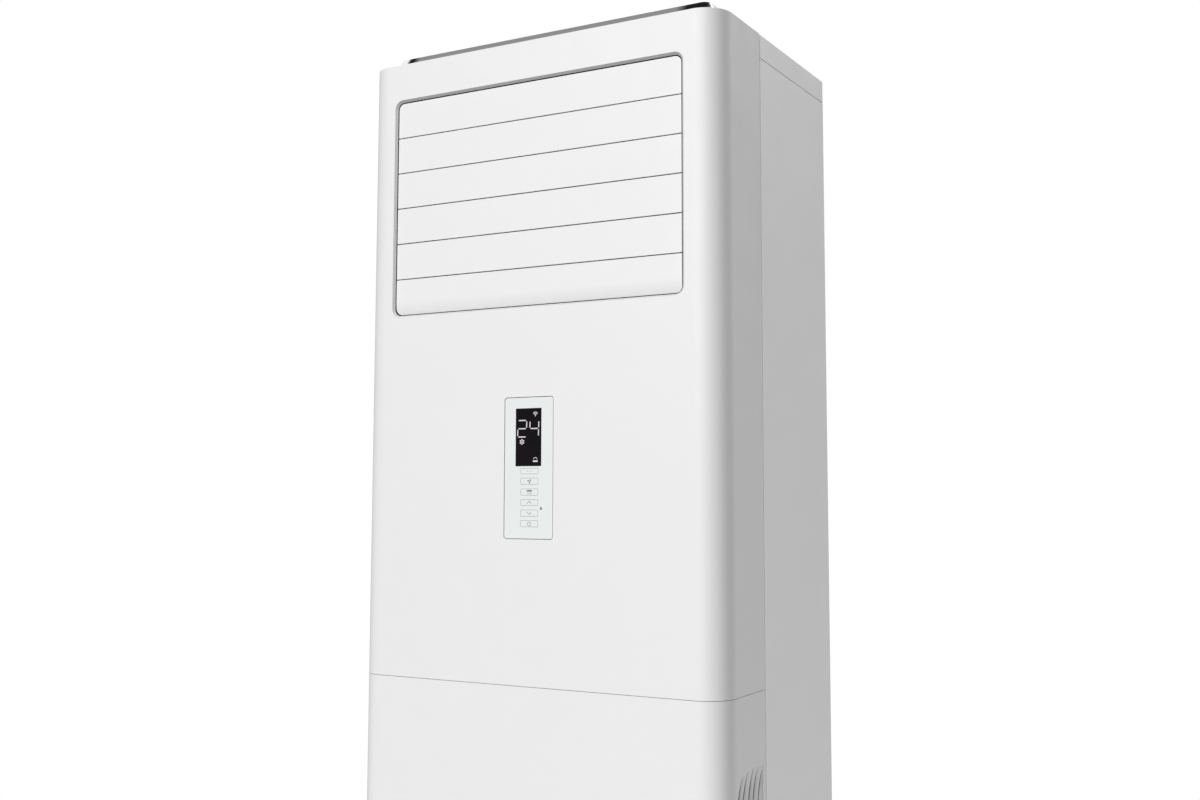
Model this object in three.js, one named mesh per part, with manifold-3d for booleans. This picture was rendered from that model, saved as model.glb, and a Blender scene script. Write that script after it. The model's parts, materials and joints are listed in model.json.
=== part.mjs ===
// Floor standing air conditioner, indoor cabinet unit.
// Millimetres, +Z up. X across (right is +X), Y front to back (front faces -Y).
// Origin: centre of the overall box, on the floor.
import * as THREE from 'three';
import { mergeVertices } from 'three/addons/utils/BufferGeometryUtils.js';
import Module from 'manifold-3d';

// ---------------------------------------------------------------- dimensions
const W = 500;              // overall width
const D = 324;              // overall depth
const H = 1700;             // overall height, lid included
const LID_H = 18.5;         // lid above the top cover
const TOP = H - LID_H;      // top surface of cover and front panel
const YF = -D / 2;          // front plane
const YB = D / 2;           // rear plane
const HX = W / 2;
const RC = 34;              // front corner radius, outside
const WALL = 3;             // moulded panel wall
const SHEET = 1.5;          // sheet metal
const SEAM = 1.0;           // open joint between panels
const CLR = 0.3;            // fitting gap
const YS = YF + 112.6;      // where the front panels end on the flanks
const SEAM_Z = TOP - 767.1; // joint between upper and lower front panel
const BASE_Z = 60.5;        // underside of the panels
const FOOT_H = 12;
const COVER_H = 29.1;       // skirt height of the top cover
const PANEL_TOP = TOP - COVER_H - SEAM / 2;

const WIN_X = 202.2;        // outlet window, inner edge of its chamfer
const WIN_Z1 = TOP - 49.1;
const WIN_Z0 = TOP - 322.9;
const WIN_R = 9.2;
const WIN_CH = 2.8;         // window chamfer

const N_LOUVRE = 6;
const L_PITCH = 45.4;
const L_TOP = TOP - 49.8;   // upper joint line of louvre 1
const L_GAP = 1.2;
const L_HALF = (L_PITCH - L_GAP) / 2;
const L_X = 200.9;          // half length of a louvre
const L_FACE = 9;           // face in front of the pin axis
const L_PIN_Y = YF + 3 + L_FACE;
const CRANK = 8.49;         // crank pin offset, both ways

const DUCT_X = 207.5;       // inner half width of the outlet duct
const DUCT_T = 3;
const DUCT_Z0 = TOP - 333.5;
const DUCT_Z1 = TOP - 38;
const DUCT_Y0 = YF + WALL + CLR;
const DUCT_Y1 = -72;

const N_VANE = 8;
const V_PITCH = 50;
const V_Y = -108;           // vane pin axis
const V_CRANK = 16;

const FAN_X = -20;          // blower axis
const FAN_Z = 420;
const FAN_R = 125;

// ------------------------------------------------------------------- helpers
const wasm = await Module();
wasm.setup();
const V3 = THREE.Vector3;
const rad = (d) => (d * Math.PI) / 180;

function solid(g) {
  let q = g.index ? g.toNonIndexed() : g.clone();
  for (const a of Object.keys(q.attributes)) if (a !== 'position') q.deleteAttribute(a);
  q = mergeVertices(q, 1e-4);
  const idx = [];
  const s = q.index.array;
  for (let i = 0; i < s.length; i += 3) {
    const [a, b, c] = [s[i], s[i + 1], s[i + 2]];
    if (a !== b && b !== c && a !== c) idx.push(a, b, c);
  }
  return new wasm.Manifold(new wasm.Mesh({
    numProp: 3,
    vertProperties: new Float32Array(q.attributes.position.array),
    triVerts: new Uint32Array(idx),
  }));
}
const isSolid = (o) => !(o instanceof THREE.BufferGeometry);
const S = (o) => (isSolid(o) ? o : solid(o));
const join = (...list) => list.flat().map(S).reduce((a, b) => a.add(b));
const cut = (a, ...list) => {
  let r = S(a);
  for (const b of list.flat()) r = r.subtract(S(b));
  return r;
};
const common = (a, b) => S(a).intersect(S(b));

function toGeometry(o) {
  const m = S(o).getMesh();
  const g = new THREE.BufferGeometry();
  g.setAttribute('position', new THREE.BufferAttribute(new Float32Array(m.vertProperties), 3));
  g.setIndex(new THREE.BufferAttribute(new Uint32Array(m.triVerts), 1));
  g.computeVertexNormals();
  return g;
}

const box = (x0, x1, y0, y1, z0, z1) =>
  new THREE.BoxGeometry(x1 - x0, y1 - y0, z1 - z0)
    .translate((x0 + x1) / 2, (y0 + y1) / 2, (z0 + z1) / 2);

// cylinder along an axis from a to b; (u, v) is its centre in the other two axes
function cyl(axis, r, a, b, u, v, seg = 16, r2 = r, turn = 0) {
  const g = new THREE.CylinderGeometry(r2, r, b - a, seg, 1, false, turn);
  if (axis === 'y') return g.translate(u, (a + b) / 2, v);
  if (axis === 'z') return g.rotateX(Math.PI / 2).translate(u, v, (a + b) / 2);
  return g.rotateZ(-Math.PI / 2).translate((a + b) / 2, u, v);
}

// prism of a flat outline: 'z' takes (x, y), 'x' takes (y, z), 'y' takes (x, z)
function prism(pts, axis, a, b, holes = []) {
  const line = pts.map((p) => new THREE.Vector2(p[0], p[1]));
  if (THREE.ShapeUtils.isClockWise(line)) line.reverse();
  const s = new THREE.Shape(line);
  for (const h of holes) s.holes.push(new THREE.Path(h.map((p) => new THREE.Vector2(p[0], p[1]))));
  const g = new THREE.ExtrudeGeometry(s, { depth: b - a, bevelEnabled: false, steps: 1 });
  const m = new THREE.Matrix4();
  if (axis === 'x') m.makeBasis(new V3(0, 1, 0), new V3(0, 0, 1), new V3(1, 0, 0)).setPosition(a, 0, 0);
  else if (axis === 'y') m.makeBasis(new V3(1, 0, 0), new V3(0, 0, 1), new V3(0, -1, 0)).setPosition(0, b, 0);
  else m.makeTranslation(0, 0, a);
  return g.applyMatrix4(m);
}

function arc(cx, cy, r, a0, a1, n) {
  const out = [];
  for (let i = 0; i <= n; i++) {
    const t = rad(a0 + ((a1 - a0) * i) / n);
    out.push([cx + r * Math.cos(t), cy + r * Math.sin(t)]);
  }
  return out;
}
const roundRect = (x0, x1, y0, y1, r, n = 5) => [
  ...arc(x1 - r, y1 - r, r, 0, 90, n),
  ...arc(x0 + r, y1 - r, r, 90, 180, n),
  ...arc(x0 + r, y0 + r, r, 180, 270, n),
  ...arc(x1 - r, y0 + r, r, 270, 360, n),
];
const capsule = (x0, y0, x1, y1, r, n = 4) => {
  const a = (Math.atan2(y1 - y0, x1 - x0) * 180) / Math.PI;
  return [...arc(x1, y1, r, a - 90, a + 90, n), ...arc(x0, y0, r, a + 90, a + 270, n)];
};

// closed skin through rings of equal point counts; convex end rings
function loft(rings) {
  const n = rings[0].length;
  const pos = rings.flat().flatMap((p) => [p.x, p.y, p.z]);
  const idx = [];
  for (let k = 0; k < rings.length - 1; k++)
    for (let i = 0; i < n; i++) {
      const a = k * n + i, b = k * n + ((i + 1) % n), c = a + n, d = b + n;
      idx.push(a, b, d, a, d, c);
    }
  const last = (rings.length - 1) * n;
  for (let i = 1; i < n - 1; i++) {
    idx.push(0, i + 1, i);
    idx.push(last, last + i, last + i + 1);
  }
  let vol = 0;
  const p = (i) => new V3(pos[3 * i], pos[3 * i + 1], pos[3 * i + 2]);
  for (let i = 0; i < idx.length; i += 3)
    vol += p(idx[i]).dot(p(idx[i + 1]).cross(p(idx[i + 2])));
  if (vol < 0) for (let i = 0; i < idx.length; i += 3) [idx[i + 1], idx[i + 2]] = [idx[i + 2], idx[i + 1]];
  const g = new THREE.BufferGeometry();
  g.setAttribute('position', new THREE.BufferAttribute(new Float32Array(pos), 3));
  g.setIndex(idx);
  return g;
}
const ringZ = (pts, z) => pts.map((p) => new V3(p[0], p[1], z));
const ringY = (pts, y) => pts.map((p) => new V3(p[0], y, p[1]));

// round tube along a smooth route
function tube(points, r, sides = 8, steps = 30) {
  const path = new THREE.CatmullRomCurve3(points.map((p) => new V3(...p)), false, 'centripetal');
  const s = new THREE.Shape(arc(0, 0, r, 0, 360, sides).slice(0, sides).map((p) => new THREE.Vector2(...p)));
  return new THREE.ExtrudeGeometry(s, { steps, extrudePath: path, bevelEnabled: false });
}

// plan outline of the cabinet front, o inside the outer skin, flanks back to y1
const frontPath = (o, y1, n = 8) => [
  [HX - o, y1],
  ...arc(HX - RC, YF + RC, RC - o, 0, -90, n),
  ...arc(-HX + RC, YF + RC, RC - o, -90, -180, n),
  [-HX + o, y1],
];
const uRing = (o0, o1, y1, z0, z1) =>
  prism([...frontPath(o0, y1), ...frontPath(o1, y1).reverse()], 'z', z0, z1);

const root = new THREE.Group();
function add(name, shape, color, roughness, metalness = 0) {
  const m = new THREE.Mesh(toGeometry(shape), new THREE.MeshStandardMaterial({ color, roughness, metalness }));
  m.name = name;
  root.add(m);
  return m;
}
const WHITE = 0xeeeeee, STEEL_WHITE = 0xe4e5e6, GALV = 0xb9bcbf, DARK = 0x2a2b2d;

// ------------------------------------------------------------ outer casing
// upper front panel: U-shaped shell, closed top, window and display recess
{
  const z0 = SEAM_Z + 0.4;
  let s = join(
    uRing(0, WALL, YS, z0, TOP),
    prism(frontPath(0, YS), 'z', TOP - WALL, TOP),
    uRing(WALL - 0.1, 5.3, YS - 1, z0 + 1, z0 + 6),
    uRing(WALL + CLR, 5.3, YS - 1, z0 - 9, z0 + 2),
    box(-40, 40, YF + 2, YF + 6.5, 1077, 1257),
  );
  const c = WIN_CH + 0.2;
  s = cut(s,
    prism(roundRect(-WIN_X, WIN_X, WIN_Z0, WIN_Z1, WIN_R), 'y', YF - 1, YF + 6),
    loft([
      ringY(roundRect(-WIN_X - c, WIN_X + c, WIN_Z0 - c, WIN_Z1 + c, WIN_R + c), YF - 0.2),
      ringY(roundRect(-WIN_X, WIN_X, WIN_Z0, WIN_Z1, WIN_R), YF + WIN_CH),
    ]),
    prism(roundRect(-33.6, 33.6, 1083.5, 1250, 4.2), 'y', YF - 1, YF + 4.2),
    box(-19, 19, YF, YF + 8, 1166, 1237),
  );
  add('upper_front_panel', s, WHITE, 0.32);
}

// lower front panel: U-shaped shell with five curved intake slits a side and
// the rails of the filters
const slitTop = [[48.1, 852.1], [61.6, 849.7], [77.0, 848.1], [89.2, 849.2], [103.6, 849.5]]
  .map(([y, d]) => [YF + y, TOP - d]);
const SLIT_BOTTOM = 232;
function slitOutline([y0, zt]) {
  const A = 16, tau = 35.6, wMax = 2.75;
  const zb = SLIT_BOTTOM + (zt - (TOP - 849));
  const dist = [0, 5, 11, 18, 27, 40, 60, 95];
  const zs = [...dist.map((d) => zt - d), ...dist.slice().reverse().map((d) => zb + d)];
  const left = [], right = [];
  for (const z of zs) {
    const y = y0 - A * (1 - Math.exp(-(zt - z) / tau) - Math.exp(-(z - zb) / tau));
    const e = Math.min(zt - z, z - zb);
    const w = 0.35 + (wMax - 0.35) * Math.sin(Math.min(1, e / 27) * Math.PI / 2);
    left.push([y - w, z]);
    right.push([y + w, z]);
  }
  return [...left, ...right.reverse()];
}
{
  let s = uRing(0, WALL, YS, BASE_Z, SEAM_Z - 0.4);
  const rails = [];
  for (const k of [1, -1])
    for (const [y, dir] of [[-123.3, 1], [-55.3, -1]]) {
      rails.push(box(Math.min(k * 234.8, k * 247.2), Math.max(k * 234.8, k * 247.2), y - 2, y, 200, 860));
      const ya = dir > 0 ? y - 1 : y - 5, yb = dir > 0 ? y + 4 : y - 1;
      rails.push(box(Math.min(k * 234.8, k * 236.6), Math.max(k * 234.8, k * 236.6), ya, yb, 200, 860));
    }
  s = join(s, rails);
  const slots = [];
  for (const k of [1, -1])
    for (const t of slitTop) slots.push(prism(slitOutline(t), 'x', k > 0 ? 244 : -252, k > 0 ? 252 : -244));
  s = cut(s, slots);
  add('lower_front_panel', s, WHITE, 0.32);
}

// flat sheet sides
for (const k of [1, -1])
  add(k > 0 ? 'right_side_panel' : 'left_side_panel',
    box(Math.min(k * HX, k * (HX - SHEET)), Math.max(k * HX, k * (HX - SHEET)), YS + SEAM, YB, BASE_Z, PANEL_TOP), STEEL_WHITE, 0.42);

// back panel between the sides, with a square pipe outlet, gland hole and
// bracket screw holes
const PIPE_X = -170, PIPE_Z = 150, GLAND_X = -95, GLAND_Z = 112;
add('back_panel', cut(
  box(-HX + SHEET + CLR, HX - SHEET - CLR, YB - 3.3, YB - 1.8, BASE_Z, PANEL_TOP),
  box(PIPE_X - 40, PIPE_X + 40, 150, 165, PIPE_Z - 40, PIPE_Z + 40),
  cyl('y', 9.6, 150, 165, GLAND_X, GLAND_Z, 16),
  cyl('y', 2.5, 150, 165, -55, 1590, 8),
  cyl('y', 2.5, 150, 165, 55, 1590, 8),
), STEEL_WHITE, 0.45);

// top cover with a skirt on three sides
add('top_cover', cut(
  box(-HX, HX, YS + SEAM, YB, PANEL_TOP + SEAM / 2, TOP),
  box(-HX + 2.5, HX - 2.5, YS - 5, YB - 2.5, PANEL_TOP - 5, TOP - 2.5),
), STEEL_WHITE, 0.4);

// dark glossy lid: plate with sloping sides, hollow below
{
  const base = (o, r) => roundRect(-234 + o, 234 - o, YF + 17 + o, YB - 17 - o, r);
  const s = cut(
    loft([ringZ(base(0, 28), TOP + CLR), ringZ(base(14.6, 18), H - 1.6), ringZ(base(16.6, 16), H)]),
    loft([ringZ(base(3, 25), TOP - 1), ringZ(base(19, 14), H - 3)]),
  );
  add('top_trim', s, 0x3a393b, 0.12, 0.6);
}

// base pan and feet
add('base_pan', cut(
  prism(frontPath(1.5, YB - 1.5), 'z', FOOT_H, BASE_Z - 0.4),
  prism(frontPath(3.5, YB - 3.5), 'z', FOOT_H + 3, BASE_Z + 5),
), 0xd9dadb, 0.5);
for (const [n, x, y] of [['front_left', -200, -112], ['front_right', 200, -112], ['rear_left', -200, 118], ['rear_right', 200, 118]])
  add('foot_' + n, cyl('z', 20, 0, FOOT_H - CLR, x, y, 20, 23), 0x1c1c1d, 0.85);

// --------------------------------------------------------------- air outlet
const louvreZ = (k) => L_TOP - L_PITCH * (k - 0.5);
const vaneX = (k) => V_PITCH * (k - (N_VANE + 1) / 2);

// outlet duct: rectangular tube with a front flange, bearing holes for the pins
{
  const X = DUCT_X, T = DUCT_T;
  let s = join(
    box(-X - T, X + T, DUCT_Y0, DUCT_Y1, DUCT_Z0 - T, DUCT_Z1 + T),
    box(-X - 8, X + 8, DUCT_Y0, DUCT_Y0 + 2.5, DUCT_Z0 - 10, DUCT_Z1 + 10),
  );
  const cuts = [box(-X, X, DUCT_Y0 - 5, DUCT_Y1 + 5, DUCT_Z0, DUCT_Z1)];
  for (let k = 1; k <= N_LOUVRE; k++) cuts.push(cyl('x', 3.0, -X - 6, X + 6, L_PIN_Y, louvreZ(k), 8));
  for (let k = 1; k <= N_VANE; k++) cuts.push(cyl('z', 3.0, DUCT_Z0 - 6, DUCT_Z1 + 6, vaneX(k), V_Y, 8));
  add('air_outlet_duct', cut(s, cuts), 0xdddddc, 0.5);
}

// horizontal louvres: blade, end ears with pins, crank on the left ear
const windowFill = prism(roundRect(-L_X, L_X, L_TOP - N_LOUVRE * L_PITCH + 0.6, L_TOP - 0.6, 8), 'y', YF, YF + 20);
for (let k = 1; k <= N_LOUVRE; k++) {
  const z = louvreZ(k), h = L_HALF;
  const front = k === N_LOUVRE
    ? [[-L_FACE, h], [-L_FACE, -6], [-8.8, -11], [-8.2, -15.5], [-7.2, -19.5], [-6.2, -h], [-3.7, -h]]
    : [[-L_FACE, h], [-L_FACE, -h], [-6.4, -h]];
  const blade = [...front, [-4.4, -10], [-4.0, 0], [-4.6, 12], [-6.4, h]].map(([a, b]) => [L_PIN_Y + a, z + b]);
  let s = S(prism(blade, 'x', -L_X, L_X));
  if (k === 1 || k === N_LOUVRE) s = common(s, windowFill);
  const ear = [[-6.6, -9], ...arc(0, 0, 4.6, -90, 90, 6), [-6.6, 9]].map(([a, b]) => [L_PIN_Y + a, z + b]);
  const crank = capsule(L_PIN_Y, z, L_PIN_Y + CRANK, z + CRANK, 3.8);
  s = join(s,
    prism(ear, 'x', -L_X, -L_X + 2.5), prism(ear, 'x', L_X - 2.5, L_X),
    prism(crank, 'x', -L_X, -L_X + 2.5),
    cyl('x', 2.0, -205.4, -L_X + 1, L_PIN_Y + CRANK, z + CRANK, 8),
    cyl('x', 2.5, -212, -L_X + 1, L_PIN_Y, z, 10),
    cyl('x', 2.5, L_X - 1, k === 1 ? 218 : 212, L_PIN_Y, z, 10));
  add('louvre_' + k, s, WHITE, 0.32);
}

// bar that joins the louvre cranks, in the gap beside the duct wall
{
  const y = L_PIN_Y + CRANK;
  const s = prism(roundRect(y - 4, y + 4, louvreZ(N_LOUVRE) + CRANK - 6, louvreZ(1) + CRANK + 6, 3.9, 4), 'x', -204.7, -202.3);
  const holes = [];
  for (let k = 1; k <= N_LOUVRE; k++) holes.push(cyl('x', 2.6, -210, -198, y, louvreZ(k) + CRANK, 8));
  add('louvre_link_bar', cut(s, holes), 0xcfcfcd, 0.5);
}
// stepper motor on the right pin of louvre 1
{
  const y = L_PIN_Y + 9.5, z = louvreZ(1);
  add('louvre_motor', cut(
    join(cyl('x', 14, 211.3, 230.3, y, z, 24), prism(capsule(y, z - 17.5, y, z + 17.5, 4, 4), 'x', 211.3, 212.5)),
    cyl('x', 2.9, 208, 219, L_PIN_Y, z, 10),
    cyl('x', 1.8, 208, 215, y, z - 17.5, 8), cyl('x', 1.8, 208, 215, y, z + 17.5, 8),
  ), 0xaeb2b5, 0.35, 0.7);
}

// vertical vanes with a notch and pin for their link bar
const V_Z = (DUCT_Z0 + DUCT_Z1) / 2;
for (let k = 1; k <= N_VANE; k++) {
  const x = vaneX(k);
  const s = join(
    cut(box(x - 1, x + 1, V_Y - 14, V_Y + 20, DUCT_Z0 + 3, DUCT_Z1 - 3),
      box(x - 5, x + 5, V_Y + V_CRANK - 6.5, V_Y + 25, V_Z - 6, V_Z + 6)),
    cyl('z', 1.5, V_Z - 7, V_Z + 7, x, V_Y + V_CRANK, 8),
    cyl('z', 2.5, DUCT_Z0 - 6, DUCT_Z0 + 6, x, V_Y, 10),
    cyl('z', 2.5, DUCT_Z1 - 6, k === N_VANE ? DUCT_Z1 + 11.5 : DUCT_Z1 + 6, x, V_Y, 10));
  add('vane_' + k, s, 0xd8d8d6, 0.45);
}
{
  const y = V_Y + V_CRANK;
  const holes = [];
  for (let k = 1; k <= N_VANE; k++) holes.push(cyl('z', 2.0, V_Z - 5, V_Z + 5, vaneX(k), y, 8));
  add('vane_link_bar', cut(prism(roundRect(vaneX(1) - 6, vaneX(N_VANE) + 6, y - 3.5, y + 3.5, 3.4, 3), 'z', V_Z - 1.5, V_Z + 1.5), holes), 0xcfcfcd, 0.5);
}
// motor on the upper pin of the last vane
{
  const x = vaneX(N_VANE) - 8, z = DUCT_Z1 + DUCT_T + 0.6;
  add('vane_motor', cut(
    join(cyl('z', 14, z, z + 19, x, V_Y, 24), prism(capsule(x, V_Y - 17.5, x, V_Y + 17.5, 4, 4), 'z', z, z + 1.2)),
    cyl('z', 2.9, z - 3, z + 9, vaneX(N_VANE), V_Y, 10),
    cyl('z', 1.8, z - 3, z + 4, x, V_Y - 17.5, 8), cyl('z', 1.8, z - 3, z + 4, x, V_Y + 17.5, 8),
  ), 0xaeb2b5, 0.35, 0.7);
}

// ------------------------------------------------------------- heat exchanger
// sloping coil: (a along its length, b across its thickness) to (y, z)
const COIL = { y: 32, z: 1482.5, len: 352, t: 38, x: 195 };
const cd = [0.4529, 0.8916], cn = [0.8916, -0.4529];
const coilYZ = (a, b) => [COIL.y + a * cd[0] + b * cn[0], COIL.z + a * cd[1] + b * cn[1]];
{
  const pitch = 19.5, rows = 20, f = 2.5, g = 4;
  const x0 = -COIL.x, h = COIL.t / 2;
  const low = [], high = [];
  for (let i = 0; i < rows; i++) {
    const xa = x0 + i * pitch, xb = xa + f * 2, xc = xa + pitch;
    low.push([xa, -h], [xb, -h], [xb, -h + g]);
    high.push([xa, h], [xb, h], [xb, h - g]);
    if (i < rows - 1) { low.push([xc, -h + g]); high.push([xc, h - g]); }
  }
  low.push([COIL.x - 3, -h + g], [COIL.x - 3, -h], [COIL.x, -h]);
  high.push([COIL.x - 3, h - g], [COIL.x - 3, h], [COIL.x, h]);
  const shape = new THREE.Shape([...low, ...high.reverse()].map((p) => new THREE.Vector2(...p)));
  const g3 = new THREE.ExtrudeGeometry(shape, { depth: COIL.len, bevelEnabled: false, steps: 1 });
  const m = new THREE.Matrix4().makeBasis(new V3(1, 0, 0), new V3(0, cn[0], cn[1]), new V3(0, cd[0], cd[1]));
  const [oy, oz] = coilYZ(-COIL.len / 2, 0);
  g3.applyMatrix4(m.setPosition(0, oy, oz));
  const parts = [g3];
  const plates = { '1': [], '-1': [] };
  for (const k of [1, -1])
    for (const b of [-9.5, 9.5])
      for (let i = 0; i < 3; i++) {
        const a0 = -137 + (k > 0 ? 0 : 50) + i * 100, a1 = a0 + 25;
        const pts = [];
        for (let j = 0; j <= 4; j++) {
          const t = (j / 4) * Math.PI;
          const a = (a0 + a1) / 2 - 12.5 * Math.cos(t);
          const [y, z] = coilYZ(a, b);
          pts.push([k * (COIL.x - 0.5 + 4 + 12.5 * Math.sin(t)), y, z]);
        }
        const [ya, za] = coilYZ(a0, b), [yb, zb] = coilYZ(a1, b);
        pts.unshift([k * (COIL.x - 1), ya, za]);
        pts.push([k * (COIL.x - 1), yb, zb]);
        parts.push(tube(pts, 4.6, 6, 6));
        const hole = [];
        for (const [u, v] of capsule(a0, b, a1, b, 7, 3)) hole.push(coilYZ(u, v));
        plates[k].push(hole);
      }
  add('evaporator_coil', join(parts), 0xb7bfc4, 0.35, 0.8);
  for (const k of [1, -1]) {
    const L = COIL.len / 2, o = COIL.t / 2 + 5;
    const pts = [coilYZ(-L, -o), coilYZ(L, -o), coilYZ(L, o), coilYZ(-L, o)];
    const x0 = k > 0 ? COIL.x + CLR : -COIL.x - CLR - 1.5;
    add(k > 0 ? 'coil_end_plate_right' : 'coil_end_plate_left', prism(pts, 'x', x0, x0 + 1.5, plates[k]), GALV, 0.4, 0.8);
  }
}

// drain pan under the coil's lower edge, with a spout
add('drain_pan', cut(
  join(box(-214, 214, -70.5, -12, 1283, 1309), cyl('z', 9, 1270, 1284, -200, -41, 12)),
  box(-212, 212, -68.5, -14, 1285, 1315),
  cyl('z', 6.5, 1265, 1290, -200, -41, 12),
), 0xe6e6e4, 0.5);
add('drain_hose', tube([[-200, -41, 1269.6], [-200, -40, 1235], [-206, -34, 1200], [-231, -22, 1150], [-237, -20, 1090], [-237, -20, 800],
  [-237, -20, 500], [-237, -20, 270], [-233, 5, 185], [-214, 70, 138], [-186, 115, 126], [-171, 138, 125], [-170, 157, 125]], 7.5, 8, 30), 0xc9cbc8, 0.6);

// refrigerant lines from the coil's left end to the pipe outlet
const nut = (r, x, z, y0, y1) => cyl('y', r, y0, y1, x, z, 6);
add('gas_pipe', join(
  tube([[-223, 97, 1606], [-230, 98, 1598], [-235, 100, 1570], [-236, 100, 1500], [-236, 100, 900], [-236, 100, 420], [-230, 102, 300], [-200, 108, 190], [-186, 122, 155], [-185, 138, 150], [-185, 156, 150]], 7, 8, 30),
  nut(12, -185, 150, 140, 154)), 0xb87333, 0.35, 0.9);
add('liquid_pipe', join(
  tube([[-214, 40, 1440], [-222, 44, 1432], [-234, 60, 1410], [-238, 72, 1360], [-238, 76, 900], [-238, 78, 420], [-228, 84, 300], [-175, 104, 200], [-157, 122, 158], [-155, 138, 150], [-155, 156, 150]], 4.8, 6, 30),
  nut(9, -155, 150, 142, 154)), 0xb87333, 0.35, 0.9);

// sheet wall between the air plenum and the electrics
add('inner_partition', box(-230, 230, -76.5, -75, 700, 1279), GALV, 0.45, 0.7);

// -------------------------------------------------------------------- blower
// scroll: spiral wall with an upward outlet, closed at the back
const spiral = (o, a0 = 75, a1 = 360, n = 19) => {
  const out = [];
  for (let i = 0; i <= n; i++) {
    const d = a0 + ((a1 - a0) * i) / n, r = 138 + ((d - 75) / 285) * 72 + o;
    out.push([FAN_X + r * Math.cos(rad(d)), FAN_Z + r * Math.sin(rad(d))]);
  }
  return out;
};
const OUT_Z = 640;
const inner = [[FAN_X - 20, OUT_Z], ...spiral(0), [FAN_X + 210, OUT_Z]];
const outer = [[FAN_X - 22.5, OUT_Z], ...spiral(2.5, 86), [FAN_X + 212.5, OUT_Z]];
const wall = [...inner, ...outer.slice().reverse()];
add('fan_scroll', join(
  prism(wall, 'y', -52, 62.5),
  prism(outer, 'y', -54.6, -51.6, [arc(FAN_X, FAN_Z, 128, 0, 360, 32).slice(0, 32)]),
  prism(outer, 'y', 62, 64, [arc(FAN_X, FAN_Z, 30, 0, 360, 20).slice(0, 20)]),
), 0xcfd1d3, 0.5);
// flared inlet ring, its flange over the scroll's front opening
{
  const prof = [[103.6, -57.5], [108, -62.6], [115, -65], [115, -63], [109.4, -60], [107.9, -56.9],
    [136, -56.9], [136, -54.9], [106.8, -54.9], [105.4, -46], [103, -46]];
  const g = new THREE.LatheGeometry([...prof, prof[0]].map((p) => new THREE.Vector2(...p)), 32);
  add('fan_inlet_ring', S(g.translate(FAN_X, 0, FAN_Z)), 0xcfd1d3, 0.5);
}
// multi-blade wheel: blades between two rims, on a hub disc
{
  const blades = [];
  const n = 24;
  for (let i = 0; i < n; i++) {
    const a = (i / n) * 2 * Math.PI;
    const b = new THREE.BoxGeometry(19, 99.5, 1.8).rotateY(rad(32)).translate(115.5, 3.75, 0).rotateY(-a);
    blades.push(b.translate(FAN_X, 0, FAN_Z));
  }
  const rim = (a, b, r) => cut(cyl('y', FAN_R, a, b, FAN_X, FAN_Z, 36), cyl('y', r, a - 5, b + 5, FAN_X, FAN_Z, 36));
  add('blower_wheel', join(blades, rim(-48, -44, 109.5), rim(52.2, 54.7, 106)), 0xbfc3c6, 0.5);
  add('blower_hub', cut(
    join(cyl('y', FAN_R, 55, 57.5, FAN_X, FAN_Z, 36), cyl('y', 22, 20, 56, FAN_X, FAN_Z, 20)),
    cyl('y', 6.4, 10, 70, FAN_X, FAN_Z, 16),
  ), 0xbfc3c6, 0.5);
}
add('blower_shaft', cyl('y', 6, 4, 92, FAN_X, FAN_Z, 16), 0x9a9da0, 0.25, 1);
add('shaft_nut', cut(cyl('y', 11, 10.5, 19.7, FAN_X, FAN_Z, 6), cyl('y', 6.4, 5, 25, FAN_X, FAN_Z, 16)), 0xa5a8aa, 0.3, 1);
add('blower_motor', cut(
  join(cyl('y', 25, 59.5, 67, FAN_X, FAN_Z, 20), cyl('y', 54, 66.5, 128, FAN_X, FAN_Z, 28), cyl('y', 40, 127, 131.5, FAN_X, FAN_Z, 20)),
  cyl('y', 6.5, 50, 96, FAN_X, FAN_Z, 16),
), 0x7c8084, 0.4, 0.6);
// motor bracket: plate behind the motor with two legs to the back panel
add('motor_bracket', join(
  box(FAN_X - 80, FAN_X + 80, 131.8, 134.2, FAN_Z - 75, FAN_Z + 75),
  box(FAN_X - 80, FAN_X - 77.6, 133, 158.3, FAN_Z - 75, FAN_Z + 75),
  box(FAN_X + 77.6, FAN_X + 80, 133, 158.3, FAN_Z - 75, FAN_Z + 75),
), GALV, 0.4, 0.8);

// ------------------------------------------------------------------- filters
for (const k of [1, -1]) {
  const y0 = -122.7, y1 = -57.9, z0 = 206, z1 = 850;
  const holes = [];
  const n = 6, bar = 4, edge = 6;
  const step = (z1 - z0 - 2 * edge + bar) / n;
  for (let i = 0; i < n; i++) {
    const a = z0 + edge + i * step;
    holes.push([[y0 + edge, a], [y1 - edge, a], [y1 - edge, a + step - bar], [y0 + edge, a + step - bar]]);
  }
  const xa = k > 0 ? 237.2 : -243.6, xb = xa + 6.4;
  const frame = prism([[y0, z0], [y1, z0], [y1, z1], [y0, z1]], 'x', xa, xb, holes);
  add(k > 0 ? 'air_filter_right' : 'air_filter_left',
    join(frame, box((xa + xb) / 2 - 0.4, (xa + xb) / 2 + 0.4, y0 + 2, y1 - 2, z0 + 2, z1 - 2)), 0x6f8fa8, 0.7);
}

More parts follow.
